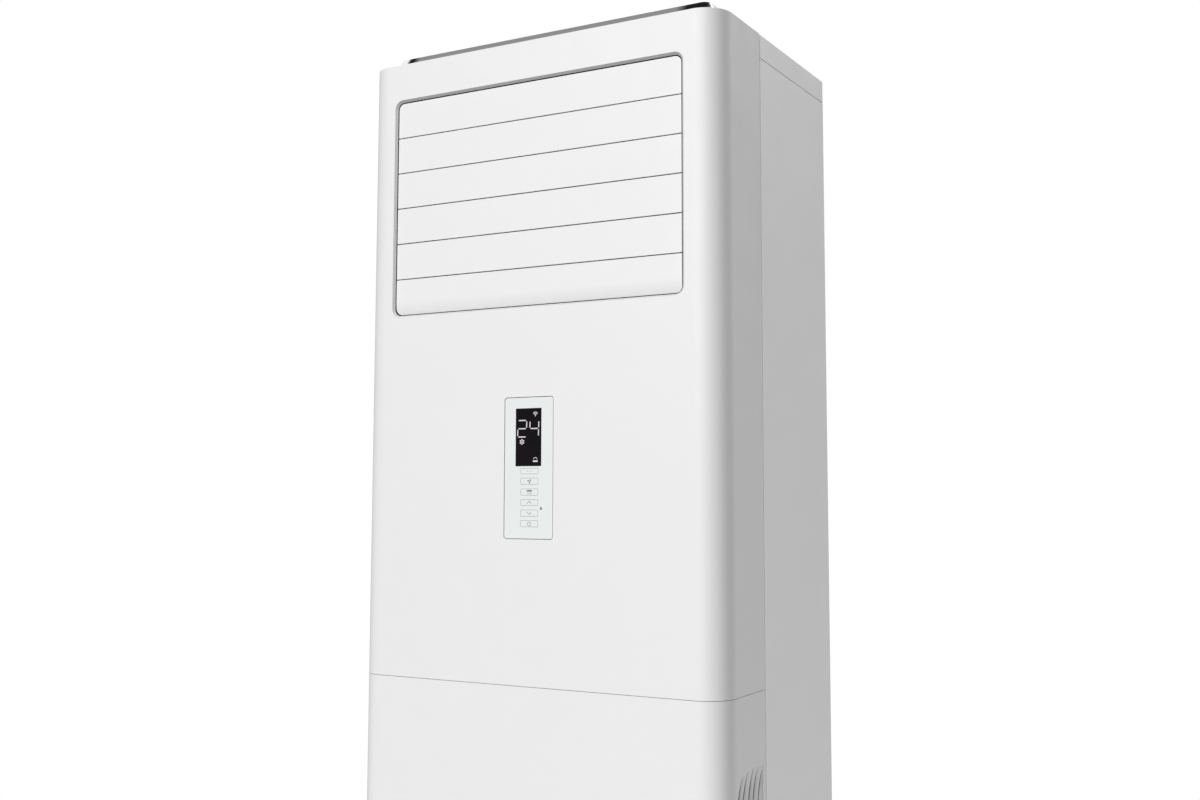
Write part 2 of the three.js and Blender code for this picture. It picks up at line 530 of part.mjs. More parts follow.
// --------------------------------------------------------------- electrics
add('control_box', cut(
  box(-84, 84, -124, -80, 962, 1062),
  box(-82.8, 82.8, -130, -81.2, 963.2, 1060.8),
), GALV, 0.4, 0.8);
add('control_box_cover', join(
  box(-84, 84, -125.9, -124.4, 962, 1062),
), GALV, 0.4, 0.8);
add('control_board', join(
  box(-78, 40, -86, -84.4, 968, 1056),
  box(-70, -46, -108, -85.5, 975, 1000),
  box(-70, -40, -112, -85.5, 1015, 1050),
  cyl('y', 9, -114, -85.5, -20, 1035, 14), cyl('y', 9, -114, -85.5, 2, 1035, 14),
  box(-30, 0, -101, -85.5, 976, 1006),
  box(14, 34, -104, -85.5, 974, 1000), box(14, 34, -98, -85.5, 1015, 1048),
), 0x2f6b3f, 0.5);
{
  const ribs = [];
  for (let i = 0; i < 6; i++) ribs.push(box(50, 76, -110, -96, 972 + i * 14, 974 + i * 14));
  add('terminal_block', join(box(50, 76, -98, -83, 972, 1044), ribs), 0xe8e4d8, 0.6);
}
add('display_panel', cut(
  prism(roundRect(-32.8, 32.8, 1084.3, 1249.2, 3.4), 'y', YF + 1.0, YF + 3.9),
  box(-17.9, 17.9, YF - 1, YF + 6, 1167.7, 1235.7),
), 0xe8ecec, 0.12);
add('lcd_window', box(-17.6, 17.6, YF + 1.05, YF + 3.9, 1168, 1235.4), 0x17161a, 0.15);
add('display_board', join(
  box(-36, 36, YF + 8.0, YF + 9.6, 1080, 1254),
  box(-17, 17, YF + 4.3, YF + 8.2, 1169, 1234.5),
  box(-8, 8, YF + 9.4, YF + 14, 1120, 1134),
  box(-20, -6, YF + 9.4, YF + 16, 1092, 1104),
), 0x2f6b3f, 0.5);

// ---------------------------------------------------------- rear details
{
  const hx = 55, hz = 1590;
  const s = cut(
    prism(roundRect(-80, 80, hz - 26, hz + 26, 6, 4), 'y', YB - 1.5, YB),
    cyl('y', 4.1, 155, 165, -hx, hz, 12), cyl('y', 4.1, 155, 165, hx, hz, 12),
    prism(roundRect(-30, -22, hz - 14, hz + 14, 3.9, 4), 'y', 155, 165),
    prism(roundRect(22, 30, hz - 14, hz + 14, 3.9, 4), 'y', 155, 165),
  );
  add('wall_bracket', s, GALV, 0.4, 0.8);
  for (const k of [-1, 1])
    add(k < 0 ? 'wall_bracket_screw_left' : 'wall_bracket_screw_right',
      join(cyl('y', 2.2, YB - 1.4, YB - 0.1, k * hx, hz, 12, 3.7), cyl('y', 2.0, YB - 14, YB - 1.2, k * hx, hz, 8)), 0xc4c6c8, 0.3, 1);
}
add('cable_gland', cut(
  join(
    cyl('y', 9, 146, 161, GLAND_X, GLAND_Z, 16),
    cyl('y', 13, 155, 158.3, GLAND_X, GLAND_Z, 6),
    cyl('y', 12.5, YB - 1.4, YB, GLAND_X, GLAND_Z, 16)),
  cyl('y', 4.5, 140, 170, GLAND_X, GLAND_Z, 12),
), 0x1d1d1f, 0.6);

export default root;
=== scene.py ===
import json
import math

import bmesh
import bpy
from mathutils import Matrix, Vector


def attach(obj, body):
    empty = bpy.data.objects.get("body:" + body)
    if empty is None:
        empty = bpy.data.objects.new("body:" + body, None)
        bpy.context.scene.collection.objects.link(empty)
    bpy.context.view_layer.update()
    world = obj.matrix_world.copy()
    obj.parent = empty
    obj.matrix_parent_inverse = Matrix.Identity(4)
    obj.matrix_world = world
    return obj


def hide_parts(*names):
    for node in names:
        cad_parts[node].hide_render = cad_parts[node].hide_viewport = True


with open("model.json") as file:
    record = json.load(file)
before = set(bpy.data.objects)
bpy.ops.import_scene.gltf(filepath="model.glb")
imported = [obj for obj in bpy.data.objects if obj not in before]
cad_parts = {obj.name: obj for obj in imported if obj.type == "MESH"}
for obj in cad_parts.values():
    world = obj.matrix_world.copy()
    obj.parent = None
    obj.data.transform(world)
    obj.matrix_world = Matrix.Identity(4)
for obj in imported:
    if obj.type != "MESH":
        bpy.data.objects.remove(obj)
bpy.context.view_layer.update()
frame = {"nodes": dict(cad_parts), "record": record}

NODES = frame["nodes"]
MM = 0.001
rad = math.radians

# ------------------------------------------------------------- dimensions, mm
TOP = 1681.5
YF, YB, HX, RC = -162.0, 162.0, 250.0, 34.0
YS = -49.4
SEAM_Z = 914.4
BASE_Z = 60.5
PANEL_TOP = 1651.9
WIN_X, WIN_Z1, WIN_Z0, WIN_R = 202.2, 1632.4, 1358.6, 9.2
L_TOP, L_PITCH, L_X, L_PIN_Y, CRANK = 1631.7, 45.4, 200.9, -150.0, 8.49
DUCT_X, DUCT_Z0, DUCT_Z1 = 207.5, 1348.0, 1643.5
DUCT_Y0, DUCT_Y1 = -158.7, -72.0
V_Y, V_Z = -108.0, 1495.75
FAN_X, FAN_Z = -20.0, 420.0

# ------------------------------------------------------------------ materials
def new_mat(name):
    m = bpy.data.materials.new(name)
    m.use_nodes = True
    nt = m.node_tree
    bsdf = nt.nodes["Principled BSDF"]
    return m, nt, bsdf


def coords(nt, scale=(1, 1, 1)):
    tc = nt.nodes.new("ShaderNodeTexCoord")
    mp = nt.nodes.new("ShaderNodeMapping")
    mp.inputs["Scale"].default_value = scale
    nt.links.new(tc.outputs["Object"], mp.inputs["Vector"])
    return mp.outputs["Vector"]


def noise(nt, vec, scale, detail=3.0, rough=0.55):
    n = nt.nodes.new("ShaderNodeTexNoise")
    n.inputs["Scale"].default_value = scale
    n.inputs["Detail"].default_value = detail
    n.inputs["Roughness"].default_value = rough
    nt.links.new(vec, n.inputs["Vector"])
    return n.outputs["Fac"]


def ramp(nt, fac, stops):
    r = nt.nodes.new("ShaderNodeValToRGB")
    el = r.color_ramp.elements
    while len(el) < len(stops):
        el.new(0.5)
    for e, (p, c) in zip(el, stops):
        e.position = p
        e.color = (*c, 1) if len(c) == 3 else c
    nt.links.new(fac, r.inputs["Fac"])
    return r.outputs["Color"]


def spread(nt, fac, lo, hi, a=0.3, b=0.7):
    r = nt.nodes.new("ShaderNodeMapRange")
    r.inputs["From Min"].default_value = a
    r.inputs["From Max"].default_value = b
    r.inputs["To Min"].default_value = lo
    r.inputs["To Max"].default_value = hi
    nt.links.new(fac, r.inputs["Value"])
    return r.outputs["Result"]


def bump(nt, bsdf, height, strength, distance):
    b = nt.nodes.new("ShaderNodeBump")
    b.inputs["Strength"].default_value = strength
    b.inputs["Distance"].default_value = distance
    nt.links.new(height, b.inputs["Height"])
    nt.links.new(b.outputs["Normal"], bsdf.inputs["Normal"])
    return b


def tint(c, k):
    return tuple(max(0.0, min(1.0, v * k)) for v in c)


def surface(name, color, rough, metal=0.0, var=0.02, var_scale=18, rvar=0.04, grain=900, strength=0.06,
            depth=0.00004, stretch=(1, 1, 1), coat=0.0, ior=1.46):
    """cloudy colour, uneven roughness and a fine grain, at the scale the real surface has"""
    m, nt, b = new_mat(name)
    v = coords(nt, stretch)
    big = noise(nt, v, var_scale, 4)
    nt.links.new(ramp(nt, big, [(0.3, tint(color, 1 - var)), (0.7, tint(color, 1 + var))]), b.inputs["Base Color"])
    mid = noise(nt, v, var_scale * 6, 5)
    nt.links.new(spread(nt, mid, rough - rvar, rough + rvar), b.inputs["Roughness"])
    bump(nt, b, noise(nt, v, grain, 2), strength, depth)
    b.inputs["Metallic"].default_value = metal
    b.inputs["IOR"].default_value = ior
    if coat:
        b.inputs["Coat Weight"].default_value = coat
        b.inputs["Coat Roughness"].default_value = 0.06
    return m


M = {}
M["panel_white"] = surface("moulded_white", (0.80, 0.80, 0.80), 0.44, var=0.004, var_scale=4, grain=1600, strength=0.035, ior=1.58)
M["louvre_white"] = surface("louvre_white", (0.815, 0.815, 0.815), 0.44, var=0.004, var_scale=7, grain=1600, strength=0.03)
M["sheet_white"] = surface("powder_coat", (0.875, 0.878, 0.882), 0.52, var=0.006, var_scale=5, grain=700, strength=0.08, depth=0.00005)
M["inner_plastic"] = surface("inner_plastic", (0.74, 0.745, 0.74), 0.5, var=0.03, var_scale=12, grain=1100)
M["display_gloss"] = surface("display_acrylic", (0.815, 0.85, 0.845), 0.12, var=0.012, var_scale=25, rvar=0.02, grain=300, strength=0.01, coat=0.6)
M["lcd_dark"] = surface("lcd_black", (0.0074, 0.0056, 0.0082), 0.1, var=0.12, var_scale=40, rvar=0.02, grain=400, strength=0.01, ior=1.36)
M["motor_metal"] = surface("motor_paint", (0.33, 0.35, 0.37), 0.42, metal=0.5, var=0.07, var_scale=22, grain=800, strength=0.12)
M["rubber_black"] = surface("rubber", (0.028, 0.028, 0.029), 0.82, var=0.2, var_scale=60, grain=1500, strength=0.3, depth=0.0001)
M["hose_plastic"] = surface("hose", (0.68, 0.69, 0.67), 0.55, var=0.04, var_scale=30, grain=900, strength=0.1)
M["block_cream"] = surface("terminal_plastic", (0.76, 0.72, 0.6), 0.5, var=0.04, var_scale=60, grain=1200, strength=0.1)
M["gland_black"] = surface("nylon_black", (0.03, 0.03, 0.032), 0.5, var=0.15, var_scale=80, grain=1500, strength=0.15)
M["bright_steel"] = surface("zinc_steel", (0.62, 0.63, 0.64), 0.28, metal=1.0, var=0.06, var_scale=90, rvar=0.08, grain=1200, strength=0.1)
M["pipe_copper"] = surface("copper", (0.72, 0.36, 0.2), 0.3, metal=1.0, var=0.14, var_scale=26, rvar=0.1, grain=700, strength=0.1)


def galvanised():
    m, nt, b = new_mat("galvanised_spangle")
    v = coords(nt)
    vo = nt.nodes.new("ShaderNodeTexVoronoi")
    vo.inputs["Scale"].default_value = 85
    nt.links.new(v, vo.inputs["Vector"])
    nt.links.new(ramp(nt, vo.outputs["Color"], [(0.1, (0.47, 0.49, 0.51)), (0.9, (0.66, 0.675, 0.69))]), b.inputs["Base Color"])
    nt.links.new(spread(nt, vo.outputs["Color"], 0.3, 0.46, 0.1, 0.9), b.inputs["Roughness"])
    bump(nt, b, noise(nt, v, 500, 3), 0.08, 0.00004)
    b.inputs["Metallic"].default_value = 0.9
    return m


def aluminium_fins():
    m, nt, b = new_mat("aluminium_fins")
    v = coords(nt, (1, 1, 6))
    f = noise(nt, v, 220, 4)
    nt.links.new(ramp(nt, f, [(0.3, (0.56, 0.6, 0.63)), (0.7, (0.76, 0.79, 0.81))]), b.inputs["Base Color"])
    nt.links.new(spread(nt, f, 0.28, 0.44), b.inputs["Roughness"])
    bump(nt, b, f, 0.15, 0.00005)
    b.inputs["Metallic"].default_value = 0.85
    return m


def board():
    m, nt, b = new_mat("circuit_board")
    v = coords(nt)
    br = nt.nodes.new("ShaderNodeTexVoronoi")
    br.distance = "MANHATTAN"
    br.feature = "DISTANCE_TO_EDGE"
    br.inputs["Scale"].default_value = 130
    nt.links.new(v, br.inputs["Vector"])
    nt.links.new(ramp(nt, br.outputs["Distance"], [(0.0, (0.11, 0.34, 0.16)), (0.12, (0.045, 0.19, 0.085))]), b.inputs["Base Color"])
    nt.links.new(spread(nt, noise(nt, v, 90, 3), 0.3, 0.45), b.inputs["Roughness"])
    bump(nt, b, br.outputs["Distance"], 0.25, 0.0001)
    return m


def net():
    m, nt, b = new_mat("filter_net")
    v = coords(nt)
    waves = []
    for d in ("Y", "Z"):
        w = nt.nodes.new("ShaderNodeTexWave")
        w.wave_type = "BANDS"
        w.bands_direction = d
        w.inputs["Scale"].default_value = 160
        nt.links.new(v, w.inputs["Vector"])
        waves.append(w.outputs["Fac"])
    mx = nt.nodes.new("ShaderNodeMath")
    mx.operation = "MAXIMUM"
    nt.links.new(waves[0], mx.inputs[0])
    nt.links.new(waves[1], mx.inputs[1])
    nt.links.new(ramp(nt, mx.outputs[0], [(0.55, (0.03, 0.04, 0.05)), (0.85, (0.15, 0.19, 0.23))]), b.inputs["Base Color"])
    nt.links.new(spread(nt, mx.outputs[0], 0.8, 0.5), b.inputs["Roughness"])
    bump(nt, b, mx.outputs[0], 0.5, 0.0002)
    return m


def lid():
    """glossy dark-grey plate with a painted reflection: black towards its two ends and a painted white highlight at the
    left end tip
    """
    m, nt, b = new_mat("lid_gloss_painted_reflection")
    tc = nt.nodes.new("ShaderNodeTexCoord")
    sp = nt.nodes.new("ShaderNodeSeparateXYZ")
    nt.links.new(tc.outputs["Object"], sp.inputs["Vector"])
    x = spread(nt, sp.outputs["X"], 0.0, 1.0, -0.234, 0.234)
    # painted reflection along X: white highlight at the left tip, black near both ends, the plate's own grey between
    nt.links.new(ramp(nt, x, [(0.055, (0.78, 0.78, 0.78)), (0.061, (0.004, 0.004, 0.004)), (0.077, (0.004, 0.004, 0.004)),
                              (0.096, (0.235, 0.226, 0.233)), (0.888, (0.235, 0.226, 0.233)), (0.918, (0.003, 0.003, 0.003))]), b.inputs["Base Color"])
    nt.links.new(spread(nt, noise(nt, tc.outputs["Object"], 60, 3), 0.34, 0.42), b.inputs["Roughness"])
    bump(nt, b, noise(nt, tc.outputs["Object"], 30, 2), 0.02, 0.00005)
    b.inputs["IOR"].default_value = 1.3
    return m


M["galvanised"] = galvanised()
M["coil_aluminium"] = aluminium_fins()
M["circuit_board"] = board()
M["filter_net"] = net()
M["lid_gloss"] = lid()
INK = surface("key_ink", (0.2, 0.205, 0.205), 0.5, var=0.08, var_scale=300, grain=2000)
INK_SOFT = surface("key_outline", (0.34, 0.35, 0.35), 0.5, var=0.06, var_scale=300, grain=2000)
# darker grey painted onto the window chamfer as painted shade
CHAMFER_PAINTED_SHADE = surface("window_chamfer_painted_shade", (0.6, 0.6, 0.6), 0.5, var=0.01, var_scale=8, grain=1600, strength=0.03)
GLYPH = surface("segment_light", (0.68, 0.65, 0.68), 0.4, var=0.05, var_scale=300, grain=2000)


# ------------------------------------------------------------- mesh building
def obj_from(name, verts, faces):
    me = bpy.data.meshes.new(name)
    me.from_pydata([(x * MM, y * MM, z * MM) for x, y, z in verts], [], faces)
    me.update()
    bm = bmesh.new()
    bm.from_mesh(me)
    bmesh.ops.recalc_face_normals(bm, faces=bm.faces)
    bm.to_mesh(me)
    bm.free()
    o = bpy.data.objects.new(name, me)
    bpy.context.scene.collection.objects.link(o)
    return o


def place(p, axis, t):
    u, w = p
    return (t, u, w) if axis == "x" else (u, t, w) if axis == "y" else (u, w, t)


def loft(name, rings):
    """rings of equal point counts, closed with a face at each end"""
    n = len(rings[0])
    verts = [p for r in rings for p in r]
    faces = []
    for k in range(len(rings) - 1):
        for i in range(n):
            a, b = k * n + i, k * n + (i + 1) % n
            faces.append((a, b, b + n, a + n))
    faces.append(tuple(range(n))[::-1])
    faces.append(tuple(range((len(rings) - 1) * n, len(rings) * n)))
    return obj_from(name, verts, faces)


def prism(name, pts, axis, a, b):
    return loft(name, [[place(p, axis, a) for p in pts], [place(p, axis, b) for p in pts]])


def block(name, x0, x1, y0, y1, z0, z1):
    return prism(name, [(x0, y0), (x1, y0), (x1, y1), (x0, y1)], "z", z0, z1)


def arc(cx, cy, r, a0, a1, n):
    return [(cx + r * math.cos(rad(a0 + (a1 - a0) * i / n)), cy + r * math.sin(rad(a0 + (a1 - a0) * i / n))) for i in range(n + 1)]


def round_rect(x0, x1, y0, y1, r, n=10):
    return (arc(x1 - r, y1 - r, r, 0, 90, n) + arc(x0 + r, y1 - r, r, 90, 180, n)
            + arc(x0 + r, y0 + r, r, 180, 270, n) + arc(x1 - r, y0 + r, r, 270, 360, n))


def circle(cx, cy, r, n=48):
    return arc(cx, cy, r, 0, 360, n)[:-1]


def capsule(x0, y0, x1, y1, r, n=8):
    a = math.degrees(math.atan2(y1 - y0, x1 - x0))
    return arc(x1, y1, r, a - 90, a + 90, n) + arc(x0, y0, r, a + 90, a + 270, n)


def rod(name, axis, r, a, b, u, w, n=32):
    return prism(name, circle(u, w, r, n), axis, a, b)


def lathe_y(name, profile, cx, cz, n=72):
    """closed ring or, where the profile starts and ends on the axis, a closed turned solid, about the Y axis"""
    verts, faces, idx = [], [], []
    for (r, y) in profile:
        if r < 1e-6:
            idx.append([len(verts)] * n)
            verts.append((cx, y, cz))
        else:
            idx.append([len(verts) + i for i in range(n)])
            for i in range(n):
                t = 2 * math.pi * i / n
                verts.append((cx + r * math.cos(t), y, cz + r * math.sin(t)))
    solid = profile[0][0] < 1e-6 and profile[-1][0] < 1e-6
    m = len(profile)
    for k in range(m - 1 if solid else m):
        p, q = idx[k], idx[(k + 1) % m]
        for i in range(n):
            j = (i + 1) % n
            f = []
            for v in (p[i], p[j], q[j], q[i]):
                if v not in f:
                    f.append(v)
            if len(f) > 2:
                faces.append(tuple(f))
    return obj_from(name, verts, faces)


def boolean(o, others, op="DIFFERENCE"):
    for c in others:
        md = o.modifiers.new("b", "BOOLEAN")
        md.operation = op
        md.solver = "EXACT"
        md.object = c
    dg = bpy.context.evaluated_depsgraph_get()
    me = bpy.data.meshes.new_from_object(o.evaluated_get(dg))
    o.modifiers.clear()
    old = o.data
    o.data = me
    bpy.data.meshes.remove(old)
    for c in others:
        bpy.data.objects.remove(c)
    return o


def merge(name, parts):
    """one object from several closed bodies"""
    bm = bmesh.new()
    for p in parts:
        bm.from_mesh(p.data)
    me = bpy.data.meshes.new(name)
    bm.to_mesh(me)
    bm.free()
    for p in parts:
        bpy.data.objects.remove(p)
    o = bpy.data.objects.new(name, me)
    bpy.context.scene.collection.objects.link(o)
    return o


def soften(o, width=0.4, seg=3, angle=32):
    """small moulded or bent radius on every edge, with flat faces kept flat"""
    if width:
        b = o.modifiers.new("edge", "BEVEL")
        b.width = width * MM
        b.segments = seg
        b.limit_method = "ANGLE"
        b.angle_limit = rad(angle)
        b.miter_outer = "MITER_ARC"
        b.use_clamp_overlap = True
    w = o.modifiers.new("normals", "WEIGHTED_NORMAL")
    w.weight = 90
    w.keep_sharp = False


def settle(o, body, slot, node=None, mat=None, width=0.4, seg=3, angle=32, smooth=True):
    for p in o.data.polygons:
        p.use_smooth = smooth
    o.data.materials.clear()
    o.data.materials.append(mat or M[slot])
    if smooth:
        soften(o, width, seg, angle)
    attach(o, body)
    if node:
        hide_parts(*([node] if isinstance(node, str) else node))
    return o


def front_path(o, y1, n=24):
    return ([(HX - o, y1)] + arc(HX - RC, YF + RC, RC - o, 0, -90, n)
            + arc(-HX + RC, YF + RC, RC - o, -90, -180, n) + [(-HX + o, y1)])


def u_ring(name, o0, o1, y1, z0, z1):
    return prism(name, front_path(o0, y1) + front_path(o1, y1)[::-1], "z", z0, z1)


# --------------------------------------------------------- upper front panel
def upper_panel():
    z0 = SEAM_Z + 0.3
    s = prism("upper_panel_shell", front_path(0, YS), "z", z0, TOP)
    hollow = prism("c", front_path(3, YS + 12), "z", z0 - 2, TOP - 3)
    boolean(s, [hollow])
    boolean(s, [block("u", -40, 40, YF + 2, YF + 6.5, 1077, 1257)], "UNION")
    c = 3.0
    def rr(e):
        return round_rect(-WIN_X - e, WIN_X + e, WIN_Z0 - e * 0.75, WIN_Z1 + e, WIN_R + e * 0.9, 14)
    win = loft("c", [[place(p, "y", YF - 0.2) for p in rr(c)], [place(p, "y", YF + 2.8) for p in rr(0)],
                     [place(p, "y", YF + 8) for p in rr(0)]])
    dis = prism("c", round_rect(-33.6, 34.9, 1083.5, 1250.1, 3.6, 10), "y", YF - 1, YF + 4.2)
    lcd = block("c", -19, 19.2, YF, YF + 9, 1166, 1238)
    boolean(s, [win, dis, lcd])
    settle(s, "cabinet", "panel_white", "upper_front_panel", width=0.5)
    # painted shade: the sloping chamfer faces round the window get the darker grey
    s.data.materials.append(CHAMFER_PAINTED_SHADE)
    for p in s.data.polygons:
        q = p.center / MM
        if abs(q.x) < WIN_X + 4 and WIN_Z0 - 4 < q.z < WIN_Z1 + 4 and q.y < YF + 3 and 0.3 < abs(p.normal.y) < 0.95:
            p.material_index = 1
    lip = u_ring("upper_panel_lip", 3.3, 5.3, YS - 1, z0 - 9, z0 + 4)
    settle(lip, "cabinet", "panel_white", width=0.3)


# --------------------------------------------------------- lower front panel
SLIT_TOP = [(YF + y, TOP - d) for y, d in [(48.1, 852.1), (61.6, 849.7), (77.0, 848.1), (89.2, 849.2), (103.6, 849.5)]]
SLIT_BOTTOM = 232.0


def slit_at(k, z):
    """(front edge, rear edge) of slit k at height z, with its half width"""
    y0, zt = SLIT_TOP[k]
    zb = SLIT_BOTTOM + (zt - (TOP - 849))
    zc = min(max(z, zb), zt)
    y = y0 - 16 * (1 - math.exp(-(zt - zc) / 35.6) - math.exp(-(zc - zb) / 35.6))
    e = min(zt - z, z - zb)
    w = math.sin(max(0.0, min(1.0, e / 27)) * math.pi / 2)
    return y - 0.35 - 4.5 * w, y + 0.35 + 2.1 * w, e


def lower_panel():
    """outer skin as a grid that follows the slits; each slat slants in from the rear edge of its slit"""
    z_hi, z_lo = SEAM_Z - 0.3, BASE_Z
    tips_t = [t[1] for t in SLIT_TOP]
    tips_b = [SLIT_BOTTOM + (t - (TOP - 849)) for t in tips_t]
    zs = {z_hi, z_lo, 900.0, 880.0, 860.0, 848.0, 840.0, 210.0, 190.0, 140.0}
    for t in tips_t:
        zs.update(t - d for d in (0, 1.5, 3, 5, 7.5, 10.5, 14, 18, 23, 29, 36, 45, 56, 70, 90))
    for t in tips_b:
        zs.update(t + d for d in (0, 1.5, 3, 5, 7.5, 10.5, 14, 18, 23, 29, 36, 45, 56, 70, 90))
    z = 320.0
    while z < 745:
        zs.add(z)
        z += 12.5
    zs = sorted(zs)
    keep = [zs[0]]
    for v in zs[1:]:
        if v - keep[-1] > 0.35 or v in tips_t or v in tips_b:
            keep.append(v)
    zs = keep
    ny, wall = 5, 2.2
    corner = list(zip(arc(HX - RC, YF + RC, RC, 0, -90, 24), arc(HX - RC, YF + RC, RC - wall, 0, -90, 24)))
    y_c = YF + RC

    def row(zv):
        """half outline from the rear edge round the corner, as (x, y, slit behind it, inner x, inner y)"""
        out = [(HX, YS, None, HX - wall, YS), (HX, YS - 2.2, None, HX - wall, YS - 2.2)]
        ya = YS
        for k in range(4, -1, -1):
            a, b, e = slit_at(k, zv)
            front_next = slit_at(k + 1, zv)[0] if k < 4 else YS - 8.2
            depth = 1.8 * max(0.0, min(1.0, e / 24)) ** 0.8
            if k == 4:
                out.append((HX, front_next + 0.5, None, HX - wall, front_next + 0.5))
            for i in range(ny + 1):
                t = i / ny
                yy = front_next + (b - front_next) * t
                x = HX - depth * (0.4 + 0.6 * t if k == 4 else t ** 1.15)
                out.append((x, yy, k if i == ny else None, x - wall + 1.7 * t, yy))
            out.append((HX, a, None, HX - wall, a))
            ya = a
        out += [(HX, ya + (y_c - ya) * t, None, HX - wall, ya + (y_c - ya) * t) for t in (0.35, 0.7)]
        out += [(p[0], p[1], None, q[0], q[1]) for p, q in corner]
        return out

    rows = [row(v) for v in zs]
    n, m = len(rows[0]), len(zs)
    N = 2 * n
    outer, inner = [], []
    for r, zv in zip(rows, zs):
        full = [(c[0], c[1], c[3], c[4]) for c in r] + [(-c[0], c[1], -c[3], c[4]) for c in reversed(r)]
        outer += [(c[0], c[1], zv) for c in full]
        inner += [(c[2], c[3], zv) for c in full]

    def kept(j, i):
        if not (0 <= j < m - 1 and 0 <= i < N - 1):
            return False
        h = i if i < n else N - 2 - i
        k = rows[0][h][2] if i != n - 1 else None
        zm = (zs[j] + zs[j + 1]) / 2 if k is not None else 0
        return k is None or not tips_b[k] < zm < tips_t[k]

    faces, off = [], len(outer)
    for j in range(m - 1):
        for i in range(N - 1):
            if not kept(j, i):
                continue
            a = j * N + i
            q = (a, a + N, a + N + 1, a + 1)
            faces.append(q)
            faces.append(tuple(v + off for v in reversed(q)))
            for u, v, dj, di in ((q[0], q[1], 0, -1), (q[1], q[2], 1, 0), (q[2], q[3], 0, 1), (q[3], q[0], -1, 0)):
                if not kept(j + dj, i + di):
                    faces.append((v, u, u + off, v + off))
    me = bpy.data.meshes.new("lower_panel_shell")
    me.from_pydata([(x * MM, y * MM, zv * MM) for x, y, zv in outer + inner], [], faces)
    me.update()
    s = bpy.data.objects.new("lower_panel_shell", me)
    bpy.context.scene.collection.objects.link(s)
    for p in me.polygons:
        p.use_smooth = True
    me.materials.append(M["panel_white"])
    soften(s, 0.3, 2, 40)
    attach(s, "lower_panel")
    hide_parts("lower_front_panel")
    for side in (1, -1):
        for y, d in ((-123.3, 1), (-55.3, -1)):
            xa, xb = sorted((side * 234.8, side * 247.2))
            rail = block("filter_rail_%s_%s" % ("right" if side > 0 else "left", "front" if d > 0 else "rear"), xa, xb, y - 2, y, 200, 860)
            settle(rail, "lower_panel", "panel_white", width=0.3, seg=2)
            xa, xb = sorted((side * 234.8, side * 236.6))
            ya, yb = (y - 1, y + 4) if d > 0 else (y - 5, y - 1)
            hook = block("filter_rail_hook_%s_%s" % ("right" if side > 0 else "left", "front" if d > 0 else "rear"), xa, xb, ya, yb, 200, 860)
            settle(hook, "lower_panel", "panel_white", width=0.3, seg=2)


# ------------------------------------------------------------ sheet metal body
def sheets():
    for k, n in ((1, "right"), (-1, "left")):
        xa, xb = sorted((k * HX, k * (HX - 1.5)))
        s = block(n + "_side_sheet", xa, xb, YS + 2.1, YB, BASE_Z, PANEL_TOP - 0.4)
        settle(s, "cabinet", "sheet_white", n + "_side_panel", width=0.12, seg=2)
    s = block("top_cover_sheet", -HX, HX, YS + 1.6, YB, PANEL_TOP + 0.5, TOP)
    boolean(s, [block("c", -HX + 2.5, HX - 2.5, YS - 5, YB - 2.5, PANEL_TOP - 5, TOP - 2.5)])
    settle(s, "cabinet", "sheet_white", "top_cover", width=0.7, seg=4)
    s = block("back_sheet", -HX + 1.8, HX - 1.8, YB - 3.3, YB - 1.8, BASE_Z, PANEL_TOP)
    boolean(s, [prism("c", round_rect(-209.9, -130.1, 110.1, 189.9, 0.8, 4), "y", 150, 165), rod("c", "y", 9.6, 150, 165, -95, 112, 32),
                rod("c", "y", 2.5, 150, 165, -55, 1590, 20), rod("c", "y", 2.5, 150, 165, 55, 1590, 20)])
    settle(s, "cabinet", "sheet_white", "back_panel", width=0.3, seg=2)
    s = prism("base_tray", front_path(1.5, YB - 1.5), "z", 12, BASE_Z - 0.4)
    boolean(s, [prism("c", front_path(3.5, YB - 3.5), "z", 15, BASE_Z + 5)])
    settle(s, "cabinet", "sheet_white", "base_pan", width=0.5)


def lid_plate():
    def ring(x0, x1, oy, r, z):
        return [place(p, "z", z) for p in round_rect(x0, x1, YF + 17 + oy, YB - 17 - oy, r, 12)]
    s = loft("lid_plate", [ring(-236, 230, 0, 28, TOP + 0.3), ring(-222.4, 221.5, 14.4, 9, 1700)])
    boolean(s, [loft("c", [ring(-233, 227, 3, 25, TOP - 1), ring(-219, 218, 18, 7, 1697)])])
    settle(s, "cabinet", "lid_gloss", "top_trim", width=0.2, seg=2, angle=20)


def feet():
    for n, x, y in (("front_left", -200, -112), ("front_right", 200, -112), ("rear_left", -200, 118), ("rear_right", 200, 118)):
        prof = [(18.6, 0), (19.6, 0.4), (20.1, 1.6), (22.4, 9.4), (23, 10.6), (22.6, 11.7)]
        rings = [[(x + r * math.cos(t), y + r * math.sin(t), z) for t in [2 * math.pi * i / 48 for i in range(48)]] for r, z in prof]
        settle(loft("rubber_foot_" + n, rings), "cabinet", "rubber_black", "foot_" + n, width=0.2, seg=2, angle=40)


# ---------------------------------------------------------------- air outlet
def louvre_z(k):
    return L_TOP - L_PITCH * (k - 0.5)


